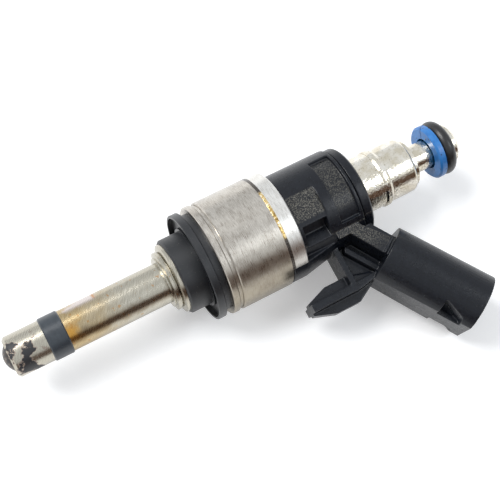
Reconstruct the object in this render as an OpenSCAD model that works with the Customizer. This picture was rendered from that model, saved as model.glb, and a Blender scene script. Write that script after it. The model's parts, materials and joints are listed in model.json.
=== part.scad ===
// Solenoid fuel injector for direct petrol injection, as an assembly of separate pieces.
// Every turned piece is drawn upright, spray tip down, and lay() puts it on its side.
// Laid down, +X runs from the spray tip to the fuel inlet and +Z is up. The origin is on
// the axis, where the slim stem meets its stepped collar. The side of the connector is
// called the front, and points to -Y.

/* [Stem and tip] */
// Diameter of the slim stem
stem_d = 7.5; // [7:0.1:8.5]
// Length of the stem, from its open end to the stepped collar
stem_len = 29; // [25:0.5:40]
// Bore of the stem
stem_bore_d = 5.4; // [5:0.1:5.8]
// Height of the rounded spray tip below the end of the stem
dome_h = 1; // [0.7:0.1:1.4]
// Distance from the end of the stem to the tip seal
seal_from_tip = 6.7; // [4:0.1:12]
// Width of the tip seal
seal_w = 3.6; // [2:0.1:5]
// Outer diameter of the tip seal
seal_d = 7.9; // [7.6:0.05:8.6]
// Depth of the seal's groove in the stem
seal_groove_depth = 0.6; // [0.4:0.05:0.7]
// Height of the stepped collar on top of the stem
collar_h = 2.15; // [1.8:0.05:4]
// Diameter of the stepped collar
collar_d = 12.8; // [12:0.1:13.4]

/* [Valve] */
// Diameter of the valve ball
ball_d = 3; // [2.6:0.1:3.2]
// Diameter of the needle's rod
rod_d = 2.4; // [2:0.1:2.5]
// Diameter of one spray hole
spray_hole_d = 0.2; // [0.15:0.01:0.3]
// Number of spray holes
spray_holes = 6; // [4:1:8]
// Angle between a spray hole and the axis
spray_angle = 35; // [25:1:40]
// Travel of the needle from its seat to full lift
needle_lift = 0.08; // [0.05:0.01:0.12]
// Travel of the armature on the needle before it lifts the needle
free_travel = 0.06; // [0.03:0.01:0.1]
// Length of the armature
armature_len = 6; // [5:0.1:7]
// Diameter of the armature
armature_d = 8.8; // [8.4:0.1:9.2]
// Diameter of the upper stop ring on the needle
stop_ring_d = 5.2; // [5:0.05:5.4]

/* [Springs] */
// Wire diameter of the return spring
return_wire_d = 0.6; // [0.4:0.05:0.7]
// Length of the return spring
return_spring_len = 7.6; // [6:0.1:10]
// Turns of the return spring
return_turns = 7; // [5:1:9]
// Wire diameter of the armature spring
armature_wire_d = 0.3; // [0.2:0.05:0.35]
// Turns of the armature spring
armature_turns = 5; // [4:1:6]

/* [Magnet] */
// Diameter of the magnet housing, the widest turned part
housing_d = 20.7; // [20:0.1:22]
// Length of the magnet housing
housing_len = 10.04; // [9.5:0.02:14]
// Wall of the magnet housing
housing_wall = 1.45; // [1.2:0.05:1.8]
// Thickness of the lower flange's outer edge
flange_edge = 1.26; // [1:0.02:2]
// Width of the groove between lower flange and magnet housing
groove_w = 0.7; // [0.4:0.05:1]
// Depth of that groove
groove_depth = 0.4; // [0.2:0.05:0.8]
// Height of the upper yoke
yoke_h = 2.9; // [2.6:0.05:3.6]
// Thickness of the upper yoke's disc
yoke_disc = 1.7; // [1.4:0.05:2]
// Half angle of the opening in the upper yoke, on the front
yoke_gap_angle = 30; // [26:1:34]
// Width of the weld between magnet housing and upper yoke
weld_w = 0.6; // [0.4:0.05:0.8]
// Wall of the valve sleeve, the thin pressure tube
sleeve_wall = 0.5; // [0.4:0.05:0.6]
// Wall of the bobbin's barrel and end discs
bobbin_wall = 0.8; // [0.6:0.05:1]

/* [Support ring and damping collar] */
// Outer diameter of the damping collar
damper_d = 14; // [13.6:0.1:15]
// Length of the damping collar below its flange
damper_len = 5.2; // [4.5:0.05:8]
// Thickness of the damping collar's flange
damper_flange = 1.35; // [1:0.05:2]
// Diameter of the damping collar's flange
damper_flange_d = 18.4; // [17.5:0.1:19]
// Outer diameter of the support ring
ring_d = 20.2; // [19.6:0.1:20.6]
// Width of the support ring
ring_w = 1.45; // [1.2:0.05:2]
// Thickness of the support ring's lip and web
ring_wall = 0.5; // [0.4:0.05:0.7]

/* [Plastic body] */
// Diameter of the plastic body
body_d = 18; // [17.6:0.1:18.4]
// Length of the plastic body above the upper yoke
body_len = 14.7; // [14:0.1:18]
// Diameter of the end flange
end_flange_d = 17.3; // [17:0.1:17.6]
// Width of the end flange
end_flange_w = 1.9; // [1.5:0.1:2.4]
// Depth of the label recess round the body
recess_depth = 0.6; // [0.3:0.05:0.9]
// Width of the label recess
recess_w = 3.8; // [3:0.1:4.2]
// Distance from the label recess to the end flange
recess_to_flange = 0.9; // [0.6:0.1:1.2]
// Width of the flat label pad
pad_w = 5.9; // [5:0.1:6.5]
// Length of the flat label pad, along the axis
pad_len = 6; // [5:0.1:6.6]
// Depth of the snap window
window_depth = 2; // [1.2:0.1:2.4]
// Length of the snap window, along the axis
window_len = 4.8; // [4:0.1:5]

/* [Connector] */
// Angle between connector and injector axis
connector_angle = 56; // [52:1:60]
// Where the connector's axis crosses the injector's, above the upper yoke
connector_up = 5; // [4.6:0.1:5.6]
// Distance from that crossing to the foot of the shroud
shroud_foot = 16.2; // [15.8:0.1:17]
// Length of the shroud
shroud_len = 19.2; // [17:0.1:22]
// Width of the shroud at its foot
shroud_foot_w = 11; // [10.6:0.1:11.4]
// Width of the shroud at its mouth
shroud_mouth_w = 11.7; // [11.4:0.1:12.4]
// How much the shroud is deeper than it is wide
shroud_extra = 2.6; // [2:0.1:3]
// Distance from the connector's axis to the flat side of the shroud
shroud_flat = 5.3; // [5.1:0.05:5.4]
// Wall of the shroud at its foot
shroud_wall = 1.2; // [1:0.05:1.4]
// Depth of the socket
socket_depth = 16.4; // [14:0.1:17]
// Distance between the two contact blades
blade_pitch = 3.8; // [3.6:0.1:4.2]
// Width of a contact blade
blade_w = 1.2; // [1:0.05:1.4]
// Thickness of a contact blade
blade_t = 0.64; // [0.5:0.02:0.8]
// Length of a contact blade inside the socket
blade_len = 8; // [6:0.1:10]
// Distance from the injector's axis to the leads
lead_r = 7; // [6.8:0.1:7.1]
// Diameter of a coil lead pin
lead_d = 0.7; // [0.5:0.05:0.8]

/* [Arm and locating finger] */
// Half the height of the arm's thick upper strip
strip_half = 6.1; // [5.6:0.1:6.3]
// Half the thickness of the web below the strip
web_half = 0.9; // [0.7:0.05:1.2]
// Half the height of the ribs on the web
rib_half = 3; // [2.4:0.1:3.6]
// Thickness of a rib
rib_w = 1.1; // [0.9:0.05:1.4]
// Distance from the injector's axis to the middle of the locating finger
finger_r = 16.3; // [16:0.1:17]
// Width of the locating finger
finger_w = 5.2; // [4.6:0.1:5.6]
// Width of the finger's blunt tip
finger_tip_w = 2.3; // [1.8:0.1:3]
// How far the finger's tip stands below the upper yoke's top
finger_drop = 2.8; // [1:0.1:5]
// Length of the finger's pointed stretch
finger_point = 4.1; // [3:0.1:5]
// Half the thickness of the finger's blade
finger_half = 1.2; // [1:0.1:1.6]

/* [Fuel inlet] */
// Diameter of the inlet tube
tube_d = 10.6; // [10.4:0.1:11]
// Wall of the inlet tube
tube_wall = 1.1; // [0.9:0.05:1.3]
// Length of the inlet tube that shows above the plastic body
tube_len = 4.7; // [4:0.1:8]
// Width of the rolled bead at the tube's end
bead_w = 1.5; // [1.2:0.1:2]
// How far the bead stands out
bead_out = 0.25; // [0.15:0.05:0.4]
// Diameter of the inlet fitting
fitting_d = 10.4; // [10:0.1:10.6]
// Length of the inlet fitting up to its shoulder
fitting_len = 4.7; // [4:0.1:8]
// Height of the rounded shoulder
shoulder_h = 1.6; // [1.2:0.1:2.2]
// Diameter of the neck
neck_d = 5.3; // [5:0.1:5.6]
// Length of the neck up to the backup ring
neck_len = 4.1; // [3:0.1:6]
// Bore of the neck
neck_bore_d = 3.4; // [3.3:0.1:3.5]
// Width of the backup ring
backup_w = 1.3; // [1:0.1:1.8]
// Outer diameter of the backup ring
backup_d = 10.3; // [10:0.05:10.5]
// Bore of the backup ring
backup_bore_d = 6; // [5.8:0.1:6.2]
// Thickness of the O-ring's section
oring_t = 2.6; // [2.4:0.1:2.8]
// Width of the lip at the inlet's end
lip_w = 1.4; // [1:0.1:2]
// Diameter of the lip at the inlet's end
lip_d = 7.4; // [7:0.1:8]

/* [Fits] */
// Radial running clearance of the ball and the armature
run_gap = 0.05; // [0.03:0.01:0.08]
// Gap that is left between faces that meet when the valve moves
stop_gap = 0.02; // [0.01:0.01:0.04]

/* [Hidden] */
$fn = 96;

// Heights above the foot of the stepped collar
tip_z = -stem_len;
seal_z = tip_z + seal_from_tip;
damper_z = collar_h;
damper_flange_z = damper_z + damper_len;
ring_z = damper_flange_z - ring_w;
flange_z = damper_flange_z + damper_flange;
groove_z = flange_z + flange_edge;
housing_z = groove_z + groove_w;
yoke_z = housing_z + housing_len;
body_z = yoke_z + yoke_h;
body_top = body_z + body_len;
bead_z = body_top + tube_len;
fitting_z = bead_z + bead_w;
shoulder_z = fitting_z + fitting_len;
neck_z = shoulder_z + shoulder_h;
backup_z = neck_z + neck_len;
oring_z = backup_z + backup_w;
lip_z = oring_z + oring_t;
inlet_z = lip_z + lip_w;

// Radii
housing_r = housing_d / 2;
pot_r = housing_r - housing_wall;
sleeve_ri = armature_d / 2 + run_gap;
sleeve_ro = sleeve_ri + sleeve_wall;
body_r = body_d / 2;
stem_bore_r = stem_bore_d / 2;

// Magnet stack
pot_floor_z = housing_z + 1.5;
bobbin_top = yoke_z;
armature_z = housing_z + 0.54;
armature_top = armature_z + armature_len;
stop_z = armature_top + free_travel + stop_gap;
pole_z = armature_top + free_travel + needle_lift + 2 * stop_gap;
stop_ring_h = 1.6;
pole_bore_r = stop_ring_d / 2 + 2 * run_gap;
spring_z = stop_z + stop_ring_h;
spring_top = spring_z + return_spring_len;
pole_top = body_z + 6.4;
socket_wall_r = sleeve_ro + 0.95;
socket_z = pole_top - 2;
sleeve_top = socket_z + 3;
tube_bore_r = tube_d / 2 - tube_wall;

// Valve seat and ball
seat_half_angle = 45;
cone_apex = tip_z - 0.3;
sac_r = 0.5;
ball_r = ball_d / 2;
ball_z = cone_apex + (ball_r + stop_gap) / sin(seat_half_angle);
seat_top = cone_apex + 1.9;
rod_r = rod_d / 2;
rod_foot = ball_z + sqrt(ball_r * ball_r - rod_r * rod_r);
counterbore_r = rod_r + 0.95;
counterbore_z = armature_top - 2.8;

// Connector
connector_z = body_z + connector_up;
shroud_end = shroud_foot + shroud_len;
socket_r = shroud_foot_w / 2 - shroud_wall;
half_extra = shroud_extra / 2;
// Roll about the axis at which housing and shroud both touch a flat surface
reach = shroud_end * sin(connector_angle);
depth = shroud_mouth_w / 2 + half_extra;
droop = asin(housing_r / sqrt(reach * reach + depth * depth)) - atan(depth / reach);

// A point of the connector's mid plane: l along the connector, p across it, to the inlet
function on_c(l, p) = [connector_z + l * cos(connector_angle) + p * sin(connector_angle),
    l * sin(connector_angle) - p * cos(connector_angle)];

// Puts an upright piece on its side, with the connector to the front
module lay() rotate([droop - 90, 0, 0]) rotate([0, 90, 0]) children();

// Turns the XY plane into the connector's mid plane: X to the height, Y to the front
module mid_plane() rotate([0, -90, -90]) children();

// A flat shape in the mid plane, given depth to both sides
module both_sides(half) mid_plane() linear_extrude(height = 2 * half, center = true) children();

// Stands on the connector's axis: Z towards its mouth, X to its flat side
module on_connector() translate([0, 0, connector_z]) rotate([0, connector_angle, 0]) children();

// A turned ring
module tube(r_out, r_in, z0, z1) translate([0, 0, z0]) difference() {
    cylinder(r = r_out, h = z1 - z0);
    translate([0, 0, -1]) cylinder(r = r_in, h = z1 - z0 + 2);
}

// Height along a coil spring, with one closed turn at each end
function coil_z(t, turns, wire, len) = let(open = (len - 3 * wire) / (turns - 2))
    t < 1 ? t * wire
    : t < turns - 1 ? wire + (t - 1) * open
    : wire + (turns - 2) * open + (t - turns + 1) * wire;

// A coil spring of round wire, standing on z = 0
module coil_spring(mean_r, wire, len, turns, steps = 20, sides = 8) {
    n = turns * steps;
    points = [for (i = [0:n], k = [0:sides - 1])
        let(a = 360 * i / steps, b = 360 * k / sides, r = mean_r + wire / 2 * cos(b),
            z = wire / 2 + coil_z(i / steps, turns, wire, len) + wire / 2 * sin(b))
        [r * cos(a), r * sin(a), z]];
    skin = [for (i = [0:n - 1], k = [0:sides - 1]) let(k2 = (k + 1) % sides)
        each [[i * sides + k, i * sides + k2, (i + 1) * sides + k2],
              [i * sides + k, (i + 1) * sides + k2, (i + 1) * sides + k]]];
    ends = [[for (k = [sides - 1:-1:0]) k], [for (k = [0:sides - 1]) n * sides + k]];
    polyhedron(points = points, faces = concat(skin, ends), convexity = 10);
}

// ---- spray tip ----

// Turned seat body with its rounded tip, sealing cone, sac and spray holes
module valve_seat() color("silver") lay() difference() {
    dome_r = stem_bore_r - 0.3;
    ball = (dome_r * dome_r + dome_h * dome_h) / (2 * dome_h);
    union() {
        translate([0, 0, tip_z]) cylinder(r = stem_bore_r, h = seat_top - tip_z);
        intersection() {
            translate([0, 0, tip_z - dome_h + ball]) sphere(r = ball);
            translate([0, 0, tip_z - 2 * dome_h]) cylinder(r = dome_r, h = 2 * dome_h + 0.1);
        }
    }
    translate([0, 0, cone_apex + sac_r])
        cylinder(r1 = sac_r, r2 = sac_r + 2, h = 2 / tan(seat_half_angle));
    translate([0, 0, cone_apex + sac_r]) sphere(r = sac_r);
    for (i = [0:spray_holes - 1]) rotate([0, 0, 360 * i / spray_holes])
        translate([0, 0, cone_apex + sac_r]) rotate([180 - spray_angle, 0, 0])
            cylinder(d = spray_hole_d, h = 3, $fn = 24);
}

// Disc that guides the ball, with fuel slots round its bore
module needle_guide() color("gainsboro") lay() {
    guide_h = 1.5;
    translate([0, 0, seat_top]) difference() {
        cylinder(r = stem_bore_r, h = guide_h);
        translate([0, 0, -1]) cylinder(r = ball_r + run_gap, h = guide_h + 2);
        for (i = [0:4]) rotate([0, 0, 72 * i]) translate([ball_r + 0.3, 0, -1])
            cylinder(r = 0.45, h = guide_h + 2, $fn = 32);
    }
}

// Slim stem with seal groove, stepped collar and the spigot for the valve sleeve
module nozzle_tube() color("silver") lay() {
    r = stem_d / 2;
    groove_r = r - seal_groove_depth;
    edge = 0.5;
    spigot = 5.3;
    rotate_extrude() polygon([
        [stem_bore_r, tip_z], [r - edge, tip_z], [r, tip_z + edge],
        [r, seal_z], [groove_r, seal_z], [groove_r, seal_z + seal_w], [r, seal_z + seal_w],
        [r, 0], [r + 0.9, 0], [r + 0.9, 0.25], [r + 1.7, 0.45],
        [r + 1.7, 0.95], [r + 1.45, 1.05], [r + 1.45, 1.2], [collar_d / 2 - 0.4, 1.4],
        [collar_d / 2, 1.6], [collar_d / 2, collar_h],
        [sleeve_ri, collar_h], [sleeve_ri, collar_h + spigot - 0.4],
        [sleeve_ri - 0.4, collar_h + spigot], [stem_bore_r + 0.6, collar_h + spigot],
        [stem_bore_r, collar_h + spigot - 0.6]]);
}

// Sealing ring in the stem's groove, with softened edges
module tip_seal() color("dimgray") lay() {
    r0 = stem_d / 2 - seal_groove_depth;
    r1 = seal_d / 2;
    soft = 0.2;
    rotate_extrude() polygon([
        [r0, seal_z], [r1 - soft, seal_z], [r1, seal_z + soft],
        [r1, seal_z + seal_w - soft], [r1 - soft, seal_z + seal_w], [r0, seal_z + seal_w]]);
}

// ---- valve mechanism ----

// Long rod of the valve needle
module needle() color("lightsteelblue") lay() {
    rod_top = spring_z + 0.9;
    rotate_extrude() polygon([
        [0, rod_foot], [rod_r, rod_foot], [rod_r, rod_top - 0.3],
        [rod_r - 0.3, rod_top], [0, rod_top]]);
}

// Ball on the needle's foot, flat where the rod is welded on
module valve_ball() color("whitesmoke") lay() intersection() {
    translate([0, 0, ball_z]) sphere(r = ball_r);
    translate([0, 0, rod_foot - 2 * ball_d]) cylinder(r = ball_d, h = 2 * ball_d);
}

// Ring on the needle that the armature lifts, and the seat of the return spring
module upper_stop_ring() color("slategray") lay()
    tube(stop_ring_d / 2, rod_r, stop_z, spring_z);

// Ring on the needle that the armature rests on
module lower_stop_ring() color("slategray") lay()
    tube(rod_r + 1, rod_r, armature_z - stop_gap - 1.3, armature_z - stop_gap);

// Armature with its counterbore and fuel passages
module armature() color("darkgray") lay() difference() {
    tube(armature_d / 2, rod_r + run_gap, armature_z, armature_top);
    translate([0, 0, counterbore_z]) cylinder(r = counterbore_r, h = armature_len);
    for (a = [45:90:315]) rotate([0, 0, a]) translate([3.3, 0, armature_z - 1])
        cylinder(r = 0.6, h = armature_len + 2, $fn = 32);
}

// Spring that holds the armature down on its lower stop
module armature_spring() color("gold") lay() translate([0, 0, counterbore_z])
    coil_spring(rod_r + 0.55, armature_wire_d, stop_z - counterbore_z, armature_turns);

// Spring that closes the valve
module return_spring() color("gold") lay() translate([0, 0, spring_z])
    coil_spring(pole_bore_r - 0.3 - return_wire_d / 2, return_wire_d, return_spring_len, return_turns);

// Slit sleeve that sets the return spring's force
module adjusting_sleeve() color("gray") lay() difference() {
    tube(pole_bore_r, pole_bore_r - 0.7, spring_top, pole_top + 1.5);
    translate([0, -0.25, spring_top - 1]) cube([pole_bore_r + 1, 0.5, pole_top - spring_top + 4]);
}

// Fixed core that pulls the armature
module pole_piece() color("darkgray") lay() {
    rotate_extrude() polygon([
        [pole_bore_r, pole_z], [sleeve_ri, pole_z], [sleeve_ri, pole_top - 0.3],
        [sleeve_ri - 0.3, pole_top], [pole_bore_r + 0.3, pole_top], [pole_bore_r, pole_top - 0.3]]);
}

// Thin pressure tube from the stepped collar to the inlet tube
module valve_sleeve() color("lightgray") lay()
    tube(sleeve_ro, sleeve_ri, collar_h, sleeve_top);

// ---- magnet ----

// Steel ring that closes the bottom of the magnet housing
module lower_flange() color("silver") lay() {
    edge = 0.15;
    rotate_extrude() polygon([
        [sleeve_ro, flange_z], [housing_r - edge, flange_z], [housing_r, flange_z + edge],
        [housing_r, groove_z - edge], [housing_r - edge, groove_z],
        [housing_r - groove_depth, groove_z], [housing_r - groove_depth, housing_z],
        [pot_r, housing_z], [pot_r, pot_floor_z], [sleeve_ro, pot_floor_z]]);
}

// Steel pot round the coil
module magnet_housing() color("silver") lay() {
    edge = 0.2;
    rotate_extrude() polygon([
        [pot_r, housing_z], [housing_r - edge, housing_z], [housing_r, housing_z + edge],
        [housing_r, yoke_z - weld_w / 2], [housing_r - weld_w / 2, yoke_z], [pot_r, yoke_z]]);
}

// A pie slice of the front, for the opening in the upper yoke
module front_slice(half_angle, r, z0, z1) translate([0, 0, z0]) linear_extrude(height = z1 - z0)
    polygon([[0, 0], [r * cos(half_angle), -r * sin(half_angle)],
        [r, 0], [r * cos(half_angle), r * sin(half_angle)]]);

// Steel ring that closes the top of the magnet housing, open where the leads come out
module upper_yoke() color("gainsboro") lay() {
    edge = 0.2;
    difference() {
        rotate_extrude() polygon([
            [sleeve_ro, yoke_z], [housing_r - weld_w / 2, yoke_z], [housing_r, yoke_z + weld_w / 2],
            [housing_r, body_z - edge], [housing_r - edge, body_z], [pot_r, body_z],
            [pot_r, yoke_z + yoke_disc], [sleeve_ro, yoke_z + yoke_disc]]);
        difference() {
            front_slice(yoke_gap_angle, 2 * housing_r, yoke_z - 1, body_z + 1);
            cylinder(r = sleeve_ro + 1, h = body_z + 2);
        }
    }
}

// Weld in the vee between housing and yoke, standing proud where the bead ends overlap
module housing_weld() color("goldenrod") lay() {
    half = weld_w / 2;
    proud = 0.1;
    rotate([0, 0, yoke_gap_angle]) rotate_extrude(angle = 360 - 2 * yoke_gap_angle) polygon([
        [housing_r - half, yoke_z], [housing_r, yoke_z - half], [housing_r, yoke_z + half]]);
    rotate([0, 0, -119]) rotate_extrude(angle = 52) polygon([
        [housing_r - half, yoke_z], [housing_r, yoke_z - half], [housing_r + proud, yoke_z - half / 2],
        [housing_r + proud, yoke_z + half / 2], [housing_r, yoke_z + half]]);
}

// Plastic bobbin of the coil
module coil_bobbin() color("tan") lay() {
    r0 = sleeve_ro;
    r1 = pot_r;
    w = bobbin_wall;
    rotate_extrude() polygon([
        [r0, pot_floor_z], [r1, pot_floor_z], [r1, pot_floor_z + w], [r0 + w, pot_floor_z + w],
        [r0 + w, bobbin_top - w], [r1, bobbin_top - w], [r1, bobbin_top], [r0, bobbin_top]]);
}

// Copper winding, with the outermost layer's turns showing
module coil_winding() color("peru") lay() {
    z0 = pot_floor_z + bobbin_wall;
    h = bobbin_top - bobbin_wall - z0;
    turns = 16;
    wire_r = h / turns / 2;
    r1 = pot_r - 0.4 - wire_r;
    rotate_extrude() union() {
        translate([sleeve_ro + bobbin_wall, z0]) square([r1 - sleeve_ro - bobbin_wall, h]);
        for (i = [0:turns - 1]) translate([r1, z0 + (2 * i + 1) * wire_r]) circle(r = wire_r, $fn = 24);
    }
}

// Two pins that bring the coil's ends up to the contact blades
module lead_pins() color("goldenrod") lay() for (side = [-1, 1])
    translate([lead_r, side * blade_pitch / 2, bobbin_top]) cylinder(d = lead_d, h = yoke_disc, $fn = 32);

// ---- damping collar and support ring ----

// Black collar between stepped collar and lower flange
module damping_collar() color("#1b1b1d") lay() {
    soft = 0.3;
    rotate_extrude() polygon([
        [sleeve_ro, damper_z], [damper_d / 2 - soft, damper_z], [damper_d / 2, damper_z + soft],
        [damper_d / 2, damper_flange_z], [damper_flange_d / 2, damper_flange_z],
        [damper_flange_d / 2, flange_z], [sleeve_ro, flange_z]]);
}

// Black ring with a thin lip, hollow towards the tip, that bears on the cylinder head
module support_ring() color("#232326") lay() {
    r0 = damper_d / 2;
    r1 = ring_d / 2;
    rotate_extrude() polygon([
        [r0, ring_z + 0.3], [r0 + ring_wall, ring_z + 0.3], [r0 + ring_wall, damper_flange_z - ring_wall],
        [r1 - ring_wall, damper_flange_z - ring_wall], [r1 - ring_wall, ring_z],
        [r1 - 0.12, ring_z], [r1, ring_z + 0.12], [r1, damper_flange_z - 0.12],
        [r1 - 0.12, damper_flange_z], [r0, damper_flange_z]]);
}

// ---- plastic body with arm, finger and connector ----

// One outline of the two contact blades, from the lead pins into the socket
module blade_outline() {
    corner_l = lead_r / sin(connector_angle);
    foot_z = yoke_z + yoke_disc;
    tip_l = shroud_end - socket_depth + blade_len;
    corner = on_c(corner_l, 0);
    translate([foot_z, lead_r - blade_w / 2]) square([corner[0] - foot_z, blade_w]);
    translate(corner) circle(d = blade_w);
    polygon([on_c(corner_l, blade_w / 2), on_c(corner_l, -blade_w / 2),
        on_c(tip_l - 0.6, -blade_w / 2), on_c(tip_l, -blade_w / 4),
        on_c(tip_l, blade_w / 4), on_c(tip_l - 0.6, blade_w / 2)]);
}

// The two blades, upright
module blades() for (side = [-1, 1]) translate([0, side * blade_pitch / 2, 0])
    both_sides(blade_t / 2) blade_outline();

// Two flat contacts of the connector
module contact_blades() color("gold") lay() blades();

// Long shape of two round cones side by side, along Z from z0 to z1
module twin_cone(r0, r1, half, z0, z1) {
    for (side = [-1, 1]) translate([0, side * half, z0]) cylinder(r1 = r0, r2 = r1, h = z1 - z0);
    rotate([90, 0, 0]) linear_extrude(height = 2 * half, center = true)
        polygon([[-r0, z0], [r0, z0], [r1, z1], [-r1, z1]]);
}

// Shroud of the connector, with a flat side and two latch notches
module shroud() on_connector() difference() {
    notch_l = shroud_end - 6.4;
    notch_len = 4;
    twin_cone(shroud_foot_w / 2, shroud_mouth_w / 2, half_extra, shroud_foot, shroud_end);
    translate([shroud_flat, -20, 0]) cube([20, 40, shroud_end + 1]);
    twin_cone(socket_r, socket_r, half_extra, shroud_end - socket_depth, shroud_end + 1);
    twin_cone(socket_r - 0.6, socket_r + 0.8, half_extra, shroud_end - 1, shroud_end + 0.4);
    for (side = [0, 1]) mirror([0, side, 0]) translate([0, 2.3, 0]) rotate([90, 0, 0])
        mirror([0, 0, 1]) linear_extrude(height = 10)
            polygon([[3.3, notch_l], [7.5, notch_l], [7.5, notch_l + notch_len + 2],
                [4.6, notch_l + notch_len]]);
}

// Arm: thick strip that holds the blades, thin web, ribs, and the locating finger
module arm() {
    foot = shroud_foot + 0.5;
    strip_z = body_z + 6.5;
    strip_r0 = 6.3;
    strip_r1 = 7.9;
    finger_z = body_z - finger_drop;
    shoulder = finger_z + finger_point;
    root_z = body_z + 5.4;
    low = finger_r - finger_w / 2;
    high = finger_r + finger_w / 2;
    both_sides(strip_half) polygon([
        [strip_z, strip_r0], [strip_z, strip_r1], on_c(8.7, -1.2), on_c(foot, -1.4),
        on_c(foot, 2), on_c(8.4, 1.1)]);
    both_sides(4.2) polygon([on_c(8, 1), on_c(foot, 1), on_c(foot, 2.9), on_c(11.5, 2.9)]);
    both_sides(strip_half + 0.3) polygon([on_c(shroud_foot - 0.9, -1.4), on_c(shroud_foot - 0.5, -1.4),
        on_c(shroud_foot - 0.5, 2), on_c(shroud_foot - 0.9, 2)]);
    both_sides(web_half) polygon([
        [root_z, 8], on_c(8, -0.5), on_c(foot, -0.5), on_c(foot, -5), [root_z + 1, finger_r], [root_z, low]]);
    both_sides(finger_half) polygon([
        [finger_z, finger_r - finger_tip_w / 2], [finger_z, finger_r + finger_tip_w / 2],
        [shoulder, high], [root_z + 0.6, high], on_c(foot, -5.1), on_c(foot, -3), [root_z, low],
        [shoulder, low]]);
    both_sides(rib_half) polygon([
        [finger_z, finger_r - 0.75], [finger_z, finger_r + 0.75], [root_z + 1, finger_r + 0.75],
        on_c(foot, -4.4), on_c(foot, -2.8), [root_z + 0.8, finger_r - 0.75]]);
    both_sides(rib_half) polygon([
        [root_z, 8], [root_z + rib_w, 8], [root_z + rib_w, finger_r], [root_z, finger_r]]);
    both_sides(rib_half - 0.4) polygon([
        on_c(9, -2.6), on_c(foot, -2.6), on_c(foot, -2.6 - rib_w), on_c(9.6, -2.6 - rib_w)]);
}

// Turned part of the plastic body, with the thicker front below the arm
module body_turned() {
    soft = 0.4;
    rotate_extrude() polygon([
        [0, yoke_z + yoke_disc], [pot_r, yoke_z + yoke_disc], [pot_r, body_z], [body_r, body_z],
        [body_r, body_top - end_flange_w - 0.3], [end_flange_d / 2 - 0.4, body_top - end_flange_w - 0.3],
        [end_flange_d / 2 - 0.4, body_top - end_flange_w], [end_flange_d / 2, body_top - end_flange_w],
        [end_flange_d / 2, body_top - soft], [end_flange_d / 2 - soft, body_top], [0, body_top]]);
    rotate([0, 0, -yoke_gap_angle]) rotate_extrude(angle = 2 * yoke_gap_angle) polygon([
        [sleeve_ro + 1, yoke_z], [housing_r - 0.1, yoke_z], [housing_r - 0.1, body_z],
        [body_r, body_z + 7], [sleeve_ro + 1, body_z + 7]]);
}

// Flat pad for a label: the round surface cut off level, seen at an angle from the front
module label_pad() {
    under = 0.5;
    rotate([0, 0, -86]) translate([sqrt(body_r * body_r - pad_w * pad_w / 4), -10, body_z - under])
        cube([5, 20, pad_len + under]);
}

// Recess round the body for a second label
module label_recess() {
    top = body_top - end_flange_w - recess_to_flange;
    rotate([0, 0, -137]) rotate_extrude(angle = 87)
        translate([body_r - recess_depth, top - recess_w]) square([3, recess_w]);
}

// Snap window with one sloping side
module snap_window() rotate([0, 0, -53.5]) translate([0, 0, body_z + 1]) linear_extrude(height = window_len)
    polygon([[body_r + 1, -2], [body_r - window_depth, -2], [body_r - window_depth, 0.4],
        [body_r, 2], [body_r + 1, 2.6]]);

// Moulded plastic body of the injector
module overmould() color("#202124") lay() difference() {
    union() {
        body_turned();
        arm();
        shroud();
    }
    label_pad();
    label_recess();
    snap_window();
    translate([0, 0, yoke_z - 1]) cylinder(r = sleeve_ro, h = socket_z - yoke_z + 2);
    translate([0, 0, socket_z]) cylinder(r = socket_wall_r, h = 4);
    cylinder(d = tube_d, h = body_top + 1);
    blades();
    for (side = [-1, 1]) translate([lead_r, side * blade_pitch / 2, bobbin_top - 1])
        cylinder(d = lead_d, h = yoke_disc + 1, $fn = 32);
}

// ---- fuel inlet ----

// Plated tube that is pushed over the valve sleeve, with a rolled bead at its end
module inlet_tube() color("gainsboro") lay() {
    r = tube_d / 2;
    rotate_extrude() union() {
        polygon([
            [sleeve_ro, socket_z], [socket_wall_r, socket_z], [socket_wall_r, socket_z + 4],
            [r, socket_z + 4], [r, bead_z], [r, fitting_z], [tube_bore_r, fitting_z],
            [tube_bore_r, sleeve_top + 0.3], [sleeve_ro, sleeve_top]]);
        translate([0, bead_z]) polygon([
            [r - 0.2, 0], [r + bead_out - 0.15, 0], [r + bead_out, 0.3],
            [r + bead_out, bead_w - 0.5], [r + bead_out - 0.25, bead_w], [r - 0.2, bead_w]]);
    }
}

// Plated fitting: tube, rounded shoulder, slim neck and end lip
module inlet_fitting() color("gainsboro") lay() {
    r = fitting_d / 2;
    neck_r = neck_d / 2;
    bore_r = neck_bore_d / 2;
    cup_r = tube_bore_r - 0.8;
    round_r = 0.9;
    rim = r - 0.75;
    spigot = 4;
    sink = 0.7;
    rotate_extrude() difference() {
        union() {
            translate([0, fitting_z - spigot]) square([tube_bore_r, spigot]);
            translate([0, fitting_z]) square([r, shoulder_z - fitting_z]);
            translate([0, shoulder_z]) square([r - round_r, round_r]);
            translate([r - round_r, shoulder_z]) intersection() {
                circle(r = round_r);
                square(round_r);
            }
            translate([0, shoulder_z]) square([rim, shoulder_h - 0.2]);
            translate([0, neck_z - 0.2]) square([rim - 0.25, 0.2]);
            translate([0, neck_z]) square([neck_r, inlet_z - neck_z]);
            translate([0, lip_z]) polygon([[0, 0], [lip_d / 2, 0], [lip_d / 2, lip_w - 0.6],
                [lip_d / 2 - 0.6, lip_w], [0, lip_w]]);
        }
        translate([-1, fitting_z - spigot - 1])
            square([cup_r + 1, shoulder_z - fitting_z + spigot + 1]);
        translate([-1, fitting_z]) square([bore_r + 1, inlet_z]);
        translate([0, inlet_z]) polygon([[-1, -sink], [bore_r, -sink], [bore_r + sink + 1, 1], [-1, 1]]);
        translate([-inlet_z, 0]) square([inlet_z, 2 * inlet_z]);
    }
}

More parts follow.
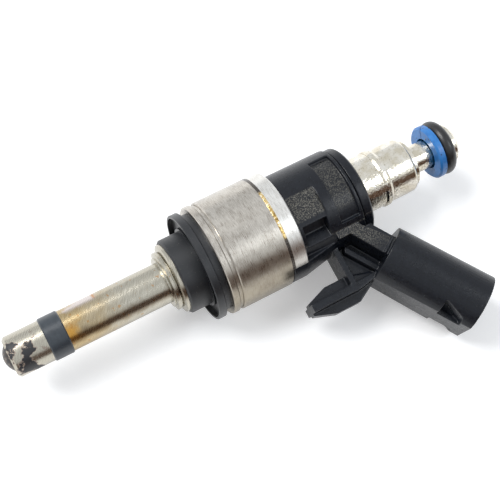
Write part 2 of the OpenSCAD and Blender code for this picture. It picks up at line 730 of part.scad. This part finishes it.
// Filter basket in the inlet, with a seating ring and four ribs
module inlet_filter() color("khaki") lay() {
    ring_r = tube_bore_r - 0.8;
    top = shoulder_z;
    len = 9;
    tube(ring_r, ring_r - 0.9, top - 1.5, top);
    translate([0, 0, top - len]) cylinder(r = 1.4, h = 0.8);
    for (a = [0:90:270]) rotate([0, 0, a]) rotate([90, 0, 0]) linear_extrude(height = 0.6, center = true)
        polygon([[0.9, top - len], [1.4, top - len], [ring_r, top - 1.5], [ring_r, top - 1],
            [ring_r - 0.9, top - 1]]);
    translate([0, 0, top - len + 0.4]) difference() {
        cylinder(r1 = 1.25, r2 = ring_r - 0.35, h = len - 1.9);
        translate([0, 0, -0.01]) cylinder(r1 = 1.05, r2 = ring_r - 0.55, h = len - 1.88);
    }
}

// Split ring behind the O-ring, cut at a slant
module backup_ring() color("#2f78bd") lay() difference() {
    r = backup_d / 2;
    edge = 0.35;
    rotate_extrude() polygon([
        [backup_bore_d / 2, backup_z], [r - edge, backup_z], [r, backup_z + edge],
        [r, oring_z], [backup_bore_d / 2, oring_z]]);
    rotate([0, 0, -135]) translate([backup_bore_d / 2 - 1, -0.06, backup_z - 1]) rotate([35, 0, 0])
        cube([r, 0.12, 2 * backup_w + 3]);
}

// O-ring of the fuel inlet
module inlet_o_ring() color("#151516") lay() translate([0, 0, oring_z + oring_t / 2])
    rotate_extrude() translate([neck_d / 2 + oring_t / 2, 0]) circle(d = oring_t, $fn = 48);

valve_seat();
needle_guide();
nozzle_tube();
tip_seal();
damping_collar();
support_ring();
lower_flange();
magnet_housing();
upper_yoke();
housing_weld();
overmould();
contact_blades();
lead_pins();
coil_bobbin();
coil_winding();
valve_sleeve();
pole_piece();
adjusting_sleeve();
return_spring();
needle();
valve_ball();
upper_stop_ring();
lower_stop_ring();
armature();
armature_spring();
inlet_tube();
inlet_fitting();
inlet_filter();
backup_ring();
inlet_o_ring();
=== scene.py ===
import json
import math
import bpy
from mathutils import Matrix, Vector

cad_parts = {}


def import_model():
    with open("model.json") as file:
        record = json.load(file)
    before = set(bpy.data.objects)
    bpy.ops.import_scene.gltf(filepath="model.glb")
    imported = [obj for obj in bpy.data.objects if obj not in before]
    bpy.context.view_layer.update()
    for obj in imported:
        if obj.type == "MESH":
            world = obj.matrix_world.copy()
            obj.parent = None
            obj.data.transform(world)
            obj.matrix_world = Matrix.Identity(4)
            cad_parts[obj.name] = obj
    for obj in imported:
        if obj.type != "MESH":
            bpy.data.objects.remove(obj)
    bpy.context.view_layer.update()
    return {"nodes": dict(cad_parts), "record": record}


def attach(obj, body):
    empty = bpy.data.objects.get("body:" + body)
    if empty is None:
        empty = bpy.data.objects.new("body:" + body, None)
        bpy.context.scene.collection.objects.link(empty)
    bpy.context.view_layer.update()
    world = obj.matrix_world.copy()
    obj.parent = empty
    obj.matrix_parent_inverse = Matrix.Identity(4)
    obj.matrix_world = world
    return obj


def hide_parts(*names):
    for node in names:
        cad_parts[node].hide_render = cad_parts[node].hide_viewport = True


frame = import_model()

MM = 0.001
# Roll of the connector's mid plane about the axis, as the part lies on its housing
DROOP = math.radians(6.3458)
# Distance in mm from the stem's open end to the frame's origin, and the stem's radius
TIP_MM = 30.0
STEM_R_MM = 3.75
# Height of the floor under the lowest point of the part, in metres
FLOOR_Z = -0.01037
# Strength of the sky as the part's light, and what is added where a ray shows the background
SKY_LIGHT = 0.55
SKY_SHOWN = 0.45
FLOOR_GLOW = 0.30
# Camera solved from the photograph: its place in metres, its view direction, its right side and its lens
CAMERA_PLACE = (-0.02716, -0.05134, 0.17934)
CAMERA_LOOK = (0.2284, 0.2599, -0.9382)
CAMERA_RIGHT = (0.8725, -0.4822, 0.0788)
CAMERA_LENS_MM = 77.44


# ---------------------------------------------------------------- materials

class Mat:
    """A material's node tree, with short names for the nodes that it uses."""

    def __init__(self, name):
        self.m = bpy.data.materials.new(name)
        self.m.use_nodes = True
        self.t = self.m.node_tree
        self.t.nodes.clear()
        self.bsdf = self.t.nodes.new("ShaderNodeBsdfPrincipled")
        out = self.t.nodes.new("ShaderNodeOutputMaterial")
        self.t.links.new(self.bsdf.outputs[0], out.inputs[0])
        coords = self.t.nodes.new("ShaderNodeTexCoord")
        self.mm = self.vec("MULTIPLY", coords.outputs["Object"], (1000, 1000, 1000))
        split = self.t.nodes.new("ShaderNodeSeparateXYZ")
        self.t.links.new(self.mm, split.inputs[0])
        self.x, self.y, self.z = split.outputs

    def put(self, socket, value):
        if isinstance(value, bpy.types.NodeSocket):
            self.t.links.new(value, socket)
        elif isinstance(value, tuple) and len(value) == 3 and len(socket.default_value) == 4:
            socket.default_value = (*value, 1)
        else:
            socket.default_value = value

    def set(self, **values):
        for name, value in values.items():
            self.put(self.bsdf.inputs[name.replace("_", " ")], value)

    def math(self, op, a, b=0.0, c=0.0, clamp=False):
        n = self.t.nodes.new("ShaderNodeMath")
        n.operation = op
        n.use_clamp = clamp
        for socket, value in zip(n.inputs, (a, b, c)):
            self.put(socket, value)
        return n.outputs[0]

    def vec(self, op, a, b):
        n = self.t.nodes.new("ShaderNodeVectorMath")
        n.operation = op
        self.put(n.inputs[0], a)
        self.put(n.inputs[1], b)
        return n.outputs["Value"] if op == "DOT_PRODUCT" else n.outputs["Vector"]

    def join(self, x, y, z):
        n = self.t.nodes.new("ShaderNodeCombineXYZ")
        for socket, value in zip(n.inputs, (x, y, z)):
            self.put(socket, value)
        return n.outputs[0]

    def noise(self, vector, scale, detail=2.0, rough=0.5, shift=0.0):
        n = self.t.nodes.new("ShaderNodeTexNoise")
        self.put(n.inputs["Vector"], self.vec("ADD", vector, (shift, shift * 0.7, -shift)))
        n.inputs["Scale"].default_value = scale
        n.inputs["Detail"].default_value = detail
        n.inputs["Roughness"].default_value = rough
        return n.outputs["Fac"]

    def cells(self, vector, scale, feature="F1"):
        n = self.t.nodes.new("ShaderNodeTexVoronoi")
        n.feature = feature
        self.put(n.inputs["Vector"], vector)
        n.inputs["Scale"].default_value = scale
        return n.outputs["Distance"]

    def step(self, value, low, high, to_low=0.0, to_high=1.0):
        n = self.t.nodes.new("ShaderNodeMapRange")
        n.interpolation_type = "SMOOTHSTEP"
        for key, v in (("Value", value), ("From Min", low), ("From Max", high),
                       ("To Min", to_low), ("To Max", to_high)):
            self.put(n.inputs[key], v)
        return n.outputs[0]

    def band(self, value, low, high, soft):
        """1 between low and high, 0 outside, with soft edges."""
        return self.math("MULTIPLY", self.step(value, low - soft, low + soft),
                         self.step(value, high - soft, high + soft, 1.0, 0.0))

    def ramp(self, fac, stops):
        n = self.t.nodes.new("ShaderNodeValToRGB")
        self.put(n.inputs[0], fac)
        e = n.color_ramp.elements
        while len(e) < len(stops):
            e.new(1.0)
        for element, (pos, colour) in zip(e, stops):
            element.position = pos
            element.color = (*colour, 1)
        return n.outputs[0]

    def mix(self, fac, a, b):
        n = self.t.nodes.new("ShaderNodeMix")
        n.data_type = "RGBA"
        self.put(n.inputs["Factor"], fac)
        self.put(n.inputs[6], a)
        self.put(n.inputs[7], b)
        return n.outputs[2]

    def bump(self, height, depth_mm, under=None, strength=1.0):
        """Bump whose height of 1 stands depth_mm high."""
        n = self.t.nodes.new("ShaderNodeBump")
        n.inputs["Strength"].default_value = strength
        n.inputs["Distance"].default_value = depth_mm * MM
        self.put(n.inputs["Height"], height)
        if under is not None:
            self.put(n.inputs["Normal"], under)
        return n.outputs[0]

    def around(self):
        """Angle about the axis in degrees: 0 on top, 90 on the front, the connector's side."""
        angle = self.math("ARCTAN2", self.math("MULTIPLY", self.y, -1.0), self.z)
        return self.math("MULTIPLY", angle, 180 / math.pi)

    def turned(self, across, along):
        """Coordinates for marks that run round the axis: fine in x, long round it."""
        return self.vec("MULTIPLY", self.mm, (across, along, along))

    def rise(self):
        """Height in mm over the connector's mid plane."""
        return self.vec("DOT_PRODUCT", self.mm, (0.0, -math.sin(DROOP), math.cos(DROOP)))


def steel(name, colour, rough, dark, brush=22.0, depth=0.004, blotch=0.5, reflection_strength=0.0):
    """Turned or brushed steel: fine rings, stains, and a painted brown reflection on the lower front, as
    strong as the last argument.
    """
    m = Mat(name)
    rings = m.noise(m.turned(1.0, 0.035), brush, 3.0, 0.6)
    wide = m.noise(m.turned(1.0, 0.05), brush * 0.18, 2.0, 0.5, 3.0)
    stain = m.noise(m.mm, blotch, 4.0, 0.6, 7.0)
    tone = m.math("ADD", m.math("MULTIPLY", rings, 0.72), m.math("MULTIPLY", stain, 0.28))
    # Painted reflection of brown surroundings on the lower front: brown, and darker the further down it goes
    painted_reflection = m.math("MULTIPLY", m.step(m.around(), 10.0, 80.0), reflection_strength)
    bare = m.mix(m.step(tone, 0.38, 0.62), dark, colour)
    m.set(Base_Color=m.mix(painted_reflection, bare, m.mix(stain, (0.10, 0.075, 0.045), (0.34, 0.29, 0.20))), Metallic=1.0,
          Roughness=m.math("MULTIPLY_ADD", rings, 0.22, m.math("MULTIPLY_ADD", stain, 0.1, rough - 0.16)),
          Normal=m.bump(wide, depth * 2, m.bump(rings, depth)))
    return m


def stem_steel():
    """Ground stem: carbon at the tip, straw and brown heat tint past the seal, slanting brush marks, and a
    painted dark brown reflection along the lower front.
    """
    m = Mat("stem_steel")
    s = m.math("ADD", m.x, TIP_MM)
    angle = m.around()
    run = m.math("MULTIPLY", angle, STEM_R_MM * math.pi / 180)
    # Brush marks that climb round the stem at about 35 degrees
    cross = m.math("ADD", m.math("MULTIPLY", s, 0.82), m.math("MULTIPLY", run, 0.57))
    along = m.math("SUBTRACT", m.math("MULTIPLY", run, 0.82), m.math("MULTIPLY", s, 0.57))
    strokes = m.join(m.math("MULTIPLY", cross, 9.0), m.math("MULTIPLY", along, 0.55), 0.0)
    brush = m.noise(strokes, 1.0, 3.0, 0.6)
    rings = m.noise(m.turned(1.0, 0.04), 24.0, 2.0, 0.6, 5.0)
    cloud = m.noise(m.mm, 0.35, 3.0, 0.55, 11.0)
    fleck = m.noise(m.mm, 2.6, 3.0, 0.6, 2.0)
    silver = m.mix(brush, (0.24, 0.22, 0.17), (0.60, 0.57, 0.49))
    # Straw tint: strongest at the seal, faded out half way up the stem
    reach = m.math("ADD", s, m.math("MULTIPLY", m.math("SUBTRACT", cloud, 0.5), 9.0))
    reach = m.math("ADD", reach, m.math("MULTIPLY", m.math("SUBTRACT", brush, 0.5), 3.0))
    past = m.step(s, 11.0, 11.4)
    straw = m.math("MULTIPLY", m.step(reach, 12.5, 24.0, 1.0, 0.0), past)
    orange = m.math("MULTIPLY", m.math("MULTIPLY", m.step(reach, 11.5, 15.5, 1.0, 0.0), past),
                    m.band(angle, 8.0, 48.0, 14.0))
    pale = m.math("MULTIPLY", m.math("MULTIPLY", m.band(reach, 13.0, 18.0, 0.8), past),
                  m.band(angle, -75.0, -32.0, 10.0))
    arc = m.math("MULTIPLY", m.band(m.math("ADD", s, m.math("MULTIPLY", m.math("SUBTRACT", fleck, 0.5), 0.9)),
                                    17.7, 18.15, 0.2), m.band(angle, -62.0, -36.0, 6.0))
    straw_colour = m.mix(brush, (0.20, 0.13, 0.05), (0.60, 0.46, 0.24))
    colour = m.mix(m.math("MULTIPLY", straw, 0.85), silver, straw_colour)
    # Painted reflection: a dark brown band along the lower front
    wavy = m.math("ADD", angle, m.math("MULTIPLY", cloud, 30.0))
    painted_brown_band = m.math("MULTIPLY", m.band(wavy, 50.0, 76.0, 9.0), past)
    colour = m.mix(m.math("MULTIPLY", painted_brown_band, 0.6), colour, (0.13, 0.085, 0.045))
    colour = m.mix(m.math("MULTIPLY", orange, 0.8), colour, (0.56, 0.28, 0.04))
    colour = m.mix(m.math("MULTIPLY", pale, 0.7), colour, (0.60, 0.56, 0.58))
    colour = m.mix(m.math("MULTIPLY", arc, 0.8), colour, (0.42, 0.17, 0.03))
    spots = m.math("MULTIPLY", m.step(m.noise(m.mm, 1.3, 2.0, 0.5, 21.0), 0.66, 0.72), past)
    colour = m.mix(m.math("MULTIPLY", spots, 0.6), colour, (0.40, 0.20, 0.06))
    # Carbon on the tip, in flakes with brownish rims
    zone = m.math("MULTIPLY", m.band(s, 0.4, 5.6, 1.1), m.band(angle, -18.0, 92.0, 16.0))
    flake = m.noise(m.mm, 0.42, 6.0, 0.62, 4.0)
    level = m.math("ADD", flake, m.math("MULTIPLY_ADD", zone, 0.20, -0.05))
    tip = m.step(s, 7.4, 7.7, 1.0, 0.0)
    carbon = m.math("MULTIPLY", m.step(level, 0.645, 0.66), tip)
    rim = m.math("MULTIPLY", m.step(level, 0.60, 0.65), tip)
    edge = m.math("MULTIPLY", m.step(m.math("ADD", flake, m.step(s, 0.2, 1.4, 0.14, 0.0)), 0.6, 0.66), tip)
    colour = m.mix(m.math("MULTIPLY", rim, 0.75), colour, (0.30, 0.21, 0.17))
    colour = m.mix(m.math("MULTIPLY", edge, 0.5), colour, (0.22, 0.17, 0.14))
    colour = m.mix(carbon, colour, (0.012, 0.012, 0.014))
    m.set(Base_Color=colour,
          Metallic=m.math("SUBTRACT", 1.0, m.math("MAXIMUM", carbon, m.math("MULTIPLY", rim, 0.6))),
          Roughness=m.math("ADD", m.math("MULTIPLY_ADD", brush, 0.2, 0.16), m.math("MULTIPLY", carbon, 0.2)),
          Normal=m.bump(carbon, 0.04, m.bump(brush, 0.006, m.bump(rings, 0.003))))
    return m


def plated(name):
    """Nickel plate with a pebbled surface, brown speckle of dirt, and more speckle towards the lower front as
    a painted brown reflection.
    """
    m = Mat(name)
    pebble = m.noise(m.mm, 2.4, 3.0, 0.55)
    fine = m.noise(m.mm, 7.0, 2.0, 0.5, 9.0)
    stain = m.noise(m.mm, 0.5, 3.0, 0.6, 3.0)
    # Brown speckle of dirt, thickened towards the lower front as a painted brown reflection
    speck = m.noise(m.mm, 4.0, 4.0, 0.7, 17.0)
    dirt_and_painted_reflection = m.step(m.math("ADD", speck, m.step(m.around(), 10.0, 70.0, 0.0, 0.12)), 0.58, 0.66)
    plate = m.mix(m.step(stain, 0.35, 0.7), (0.62, 0.57, 0.46), (0.78, 0.75, 0.68))
    m.set(Base_Color=m.mix(m.math("MULTIPLY", dirt_and_painted_reflection, 0.7), plate, (0.14, 0.10, 0.06)), Metallic=1.0,
          Roughness=m.math("MULTIPLY_ADD", stain, 0.12, 0.07),
          Normal=m.bump(fine, 0.004, m.bump(pebble, 0.05)))
    return m


def plastic(name):
    """Glass-filled black plastic: fine grain, pale speckled places, faint scuffs."""
    m = Mat(name)
    s = m.math("ADD", m.x, TIP_MM)
    angle = m.around()
    radius = m.math("POWER", m.math("ADD", m.math("MULTIPLY", m.y, m.y), m.math("MULTIPLY", m.z, m.z)), 0.5)
    grain = m.noise(m.mm, 9.0, 3.0, 0.6)
    mottle = m.noise(m.mm, 1.1, 3.0, 0.6, 8.0)
    speck = m.noise(m.mm, 5.2, 2.0, 0.7, 1.0)
    pad = m.math("MULTIPLY", m.band(s, 54.1, 59.6, 0.15),
                 m.math("MULTIPLY", m.band(angle, -8.0, 24.0, 0.8), m.step(radius, 8.96, 8.99, 1.0, 0.0)))
    recess = m.math("MULTIPLY", m.band(s, 61.8, 65.4, 0.1),
                    m.math("MULTIPLY", m.band(angle, -38.0, 30.0, 5.0), m.band(radius, 8.2, 8.6, 0.05)))
    strip = m.math("MULTIPLY", m.band(m.rise(), 6.0, 6.25, 0.05),
                   m.math("MULTIPLY", m.step(m.y, -14.5, -9.5), m.step(m.y, -4.0, -5.5)))
    marked = m.math("MAXIMUM", m.math("MULTIPLY", pad, 0.85),
                    m.math("MAXIMUM", m.math("MULTIPLY", recess, 0.5), m.math("MULTIPLY", strip, 0.7)))
    pale = m.math("MULTIPLY", m.step(speck, 0.47, 0.62), marked)
    dust = m.math("MULTIPLY", m.step(m.noise(m.mm, 3.1, 3.0, 0.6, 14.0), 0.67, 0.72), 0.35)
    base = m.mix(mottle, (0.002, 0.0026, 0.004), (0.006, 0.008, 0.013))
    base = m.mix(dust, base, (0.10, 0.105, 0.11))
    m.set(Base_Color=m.mix(m.math("MULTIPLY", pale, 0.8), base, (0.20, 0.19, 0.16)),
          Roughness=m.math("MULTIPLY_ADD", mottle, 0.3, 0.16), IOR=1.46,
          Specular_IOR_Level=0.34,
          Normal=m.bump(speck, 0.02, m.bump(grain, 0.012)))
    return m


def seal_ptfe():
    """Dark carbon-filled PTFE with scratches round it."""
    m = Mat("ptfe")
    rings = m.noise(m.turned(1.0, 0.08), 14.0, 3.0, 0.6)
    cloud = m.noise(m.mm, 0.9, 3.0, 0.6, 6.0)
    m.set(Base_Color=m.mix(m.math("MULTIPLY_ADD", rings, 0.5, m.math("MULTIPLY", cloud, 0.5)),
                           (0.010, 0.014, 0.019), (0.045, 0.056, 0.068)),
          Roughness=m.math("MULTIPLY_ADD", cloud, 0.25, 0.22),
          Normal=m.bump(rings, 0.006))
    return m


def blue_ptfe():
    """Blue backup ring with small pits and dirt."""
    m = Mat("blue_ptfe")
    cloud = m.noise(m.mm, 0.8, 3.0, 0.6, 6.0)
    pit = m.step(m.cells(m.mm, 0.9), 0.10, 0.16, 1.0, 0.0)
    rings = m.noise(m.turned(1.0, 0.2), 5.0, 2.0, 0.6)
    colour = m.mix(cloud, (0.01, 0.09, 0.32), (0.04, 0.24, 0.60))
    m.set(Base_Color=m.mix(pit, colour, (0.008, 0.012, 0.03)),
          Roughness=m.math("MULTIPLY_ADD", cloud, 0.2, 0.24),
          Normal=m.bump(pit, -0.03, m.bump(rings, 0.008)))
    return m


def rubber(name, colour, rough=0.45):
    """Black rubber or black coated steel with dust in its grain."""
    m = Mat(name)
    grain = m.noise(m.mm, 6.0, 3.0, 0.6)
    rings = m.noise(m.turned(1.0, 0.06), 10.0, 2.0, 0.6, 5.0)
    dust = m.step(m.noise(m.mm, 2.2, 3.0, 0.6, 14.0), 0.62, 0.75)
    m.set(Base_Color=m.mix(m.math("MULTIPLY", dust, 0.35), colour, (0.14, 0.13, 0.12)),
          Roughness=m.math("MULTIPLY_ADD", grain, 0.2, rough - 0.1),
          Normal=m.bump(rings, 0.006, m.bump(grain, 0.008)))
    return m


def weld():
    """Laser weld: golden ripples where its ends overlap on top, a thin dark line elsewhere."""
    m = Mat("weld")
    ripple = m.noise(m.turned(0.6, 1.0), 3.2, 2.0, 0.5)
    stain = m.noise(m.mm, 1.6, 3.0, 0.6, 4.0)
    tint = m.band(m.around(), -23.0, 29.0, 3.0)
    gold = m.ramp(stain, [(0.35, (0.30, 0.18, 0.05)), (0.5, (0.72, 0.53, 0.22)), (0.68, (0.86, 0.80, 0.66))])
    m.set(Base_Color=m.mix(tint, (0.10, 0.09, 0.08), gold),
          Metallic=1.0, Roughness=m.math("MULTIPLY_ADD", stain, 0.3, 0.12),
          Normal=m.bump(ripple, 0.06))
    return m


def sooty():
    """Spray tip under a brown and black deposit, metal showing at its rim."""
    m = Mat("tip_steel")
    soot = m.noise(m.mm, 1.4, 4.0, 0.6, 6.0)
    colour = m.ramp(soot, [(0.4, (0.01, 0.009, 0.009)), (0.56, (0.05, 0.035, 0.028)),
                           (0.66, (0.30, 0.26, 0.22))])
    m.set(Base_Color=colour, Metallic=m.step(soot, 0.55, 0.66, 0.1, 0.9),
          Roughness=m.math("MULTIPLY_ADD", soot, 0.3, 0.25), Normal=m.bump(soot, 0.03))
    return m


def moulded(name, low, high, rough=0.4):
    """Plain moulded plastic with flow marks."""
    m = Mat(name)
    flow = m.noise(m.turned(0.6, 1.0), 0.8, 3.0, 0.6)
    grain = m.noise(m.mm, 8.0, 2.0, 0.6)
    m.set(Base_Color=m.mix(flow, low, high), Roughness=m.math("MULTIPLY_ADD", flow, 0.15, rough),
          Normal=m.bump(grain, 0.006))
    return m


FINISH = {
    "stem_steel": stem_steel(),
    "tip_steel": sooty(),
    "ptfe": seal_ptfe(),
    "black_rubber": rubber("black_rubber", (0.006, 0.007, 0.009)),
    "black_steel": rubber("black_steel", (0.007, 0.008, 0.010), 0.36),
    # Housing and yoke steel get a painted brown reflection on their lower front
    "housing_steel": steel("housing_steel", (0.56, 0.53, 0.48), 0.30, (0.32, 0.29, 0.25), reflection_strength=0.75),
    "yoke_steel": steel("yoke_steel", (0.76, 0.75, 0.72), 0.30, (0.56, 0.54, 0.50), reflection_strength=0.3),
    "weld": weld(),
    "body_plastic": plastic("body_plastic"),
    "contact_tin": steel("contact_tin", (0.80, 0.78, 0.72), 0.3, (0.6, 0.58, 0.52), 8.0, 0.003, 1.5),
    "lead_brass": steel("lead_brass", (0.78, 0.56, 0.22), 0.3, (0.56, 0.38, 0.14), 8.0),
    "bobbin_plastic": moulded("bobbin_plastic", (0.40, 0.28, 0.15), (0.55, 0.42, 0.25)),
    "copper": steel("copper", (0.80, 0.36, 0.16), 0.3, (0.52, 0.20, 0.09), 3.0, 0.02),
    "core_steel": steel("core_steel", (0.56, 0.56, 0.56), 0.36, (0.38, 0.38, 0.38)),
    "spring_steel": steel("spring_steel", (0.62, 0.60, 0.56), 0.3, (0.40, 0.38, 0.34), 4.0),
    "valve_steel": steel("valve_steel", (0.78, 0.78, 0.78), 0.2, (0.62, 0.62, 0.62)),
    "plated_tube": plated("plated_tube"),
    "filter_plastic": moulded("filter_plastic", (0.50, 0.44, 0.26), (0.66, 0.60, 0.40)),
    "blue_ptfe": blue_ptfe(),
    "oring_rubber": rubber("oring_rubber", (0.008, 0.008, 0.009), 0.35),
}

for row in frame["record"]["subparts"]:
    ob = frame["nodes"][row["node"]]
    for place in ob.material_slots:
        place.material = FINISH[row["material_slot"]].m


# ---------------------------------------------------------------- softened plastic body

def softened(node, name, voxel_mm, rounds):
    """A copy of a CAD node with its corners rounded as a mould leaves them."""
    copy = frame["nodes"][node].copy()
    copy.data = copy.data.copy()
    copy.name = copy.data.name = name
    copy.parent = None
    copy.matrix_world = Matrix.Identity(4)
    for place in list(copy.modifiers):
        copy.modifiers.remove(place)
    bpy.context.scene.collection.objects.link(copy)
    remesh = copy.modifiers.new("remesh", "REMESH")
    remesh.mode = "VOXEL"
    remesh.voxel_size = voxel_mm * MM
    remesh.use_smooth_shade = True
    smooth = copy.modifiers.new("smooth", "SMOOTH")
    smooth.factor = 0.5
    smooth.iterations = rounds
    applied = bpy.data.meshes.new_from_object(copy.evaluated_get(bpy.context.evaluated_depsgraph_get()))
    copy.modifiers.clear()
    copy.data = applied
    applied.name = name
    applied.materials.clear()
    applied.materials.append(FINISH["body_plastic"].m)
    return copy


skin = softened("overmould", "plastic_body", 0.1, 8)
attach(skin, "injector_body")
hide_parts("overmould")


# ---------------------------------------------------------------- camera, floor and light

def plane_object(name, corners, material):
    mesh = bpy.data.meshes.new(name)
    mesh.from_pydata(corners, [], [tuple(range(len(corners)))])
    mesh.materials.append(material)
    ob = bpy.data.objects.new(name, mesh)
    bpy.context.scene.collection.objects.link(ob)
    return ob


def camera():
    look = Vector(CAMERA_LOOK).normalized()
    right = Vector(CAMERA_RIGHT)
    right = (right - right.dot(look) * look).normalized()
    up = right.cross(look)
    data = bpy.data.cameras.new("camera")
    data.sensor_width = 36.0
    data.lens = CAMERA_LENS_MM
    data.clip_start = 0.005
    data.clip_end = 20.0
    ob = bpy.data.objects.new("camera", data)
    ob.matrix_world = Matrix((
        (right.x, up.x, -look.x, CAMERA_PLACE[0]),
        (right.y, up.y, -look.y, CAMERA_PLACE[1]),
        (right.z, up.z, -look.z, CAMERA_PLACE[2]),
        (0, 0, 0, 1)))
    bpy.context.scene.collection.objects.link(ob)
    bpy.context.scene.camera = ob


def background_rays(tree):
    """1 for rays that show the background: from the camera, off metal and through glass."""
    path = tree.nodes.new("ShaderNodeLightPath")
    last = path.outputs["Is Camera Ray"]
    for key in ("Is Glossy Ray", "Is Transmission Ray"):
        n = tree.nodes.new("ShaderNodeMath")
        n.operation = "MAXIMUM"
        tree.links.new(last, n.inputs[0])
        tree.links.new(path.outputs[key], n.inputs[1])
        last = n.outputs[0]
    return last


def floor_material():
    m = bpy.data.materials.new("floor")
    m.use_nodes = True
    t = m.node_tree
    t.nodes.clear()
    out = t.nodes.new("ShaderNodeOutputMaterial")
    diffuse = t.nodes.new("ShaderNodeBsdfDiffuse")
    diffuse.inputs[0].default_value = (0.86, 0.86, 0.86, 1)
    glow = t.nodes.new("ShaderNodeEmission")
    glow.inputs[0].default_value = (1, 1, 1, 1)
    gain = t.nodes.new("ShaderNodeMath")
    gain.operation = "MULTIPLY"
    gain.inputs[1].default_value = FLOOR_GLOW
    t.links.new(background_rays(t), gain.inputs[0])
    t.links.new(gain.outputs[0], glow.inputs[1])
    both = t.nodes.new("ShaderNodeAddShader")
    t.links.new(diffuse.outputs[0], both.inputs[0])
    t.links.new(glow.outputs[0], both.inputs[1])
    t.links.new(both.outputs[0], out.inputs[0])
    return m


def world():
    w = bpy.data.worlds.new("world")
    bpy.context.scene.world = w
    w.use_nodes = True
    t = w.node_tree
    t.nodes.clear()
    out = t.nodes.new("ShaderNodeOutputWorld")
    sky = t.nodes.new("ShaderNodeBackground")
    sky.inputs[0].default_value = (0.93, 0.96, 1.0, 1)
    level = t.nodes.new("ShaderNodeMath")
    level.operation = "MULTIPLY_ADD"
    level.inputs[1].default_value = SKY_SHOWN
    level.inputs[2].default_value = SKY_LIGHT
    t.links.new(background_rays(t), level.inputs[0])
    t.links.new(level.outputs[0], sky.inputs[1])
    t.links.new(sky.outputs[0], out.inputs[0])


def lamp(name, place, target, size, power, colour=(1, 1, 1)):
    data = bpy.data.lights.new(name, "AREA")
    data.shape = "RECTANGLE"
    data.size, data.size_y = size
    data.energy = power
    data.color = colour
    ob = bpy.data.objects.new(name, data)
    ob.location = place
    ob.rotation_euler = (Vector(target) - Vector(place)).to_track_quat("-Z", "Y").to_euler()
    bpy.context.scene.collection.objects.link(ob)


def flag(name, corners, colour):
    """A dark card beside the set, seen only as a reflection in bright metal."""
    m = bpy.data.materials.new(name)
    m.use_nodes = True
    b = m.node_tree.nodes["Principled BSDF"]
    b.inputs["Base Color"].default_value = (*colour, 1)
    b.inputs["Roughness"].default_value = 0.8
    ob = plane_object(name, corners, m)
    ob.visible_camera = False
    ob.visible_shadow = False


camera()
world()
reach = 3
ground = plane_object("floor", [(-reach, -reach, FLOOR_Z), (reach, -reach, FLOOR_Z),
                                (reach, reach, FLOOR_Z), (-reach, reach, FLOOR_Z)], floor_material())
flag("front_flag", [(-0.30, -0.22, -0.010), (0.30, -0.22, -0.010), (0.30, -0.26, 0.16), (-0.30, -0.26, 0.16)],
     (0.10, 0.055, 0.035))
lamp("key", (-0.25, 0.30, 0.55), (0.01, 0, 0), (0.35, 0.35), 4.2)
lamp("fill", (0.35, -0.25, 0.50), (0.02, 0, 0), (0.25, 0.25), 1.0, (0.9, 0.95, 1.0))

view = bpy.context.scene.view_settings
view.view_transform = "Standard"
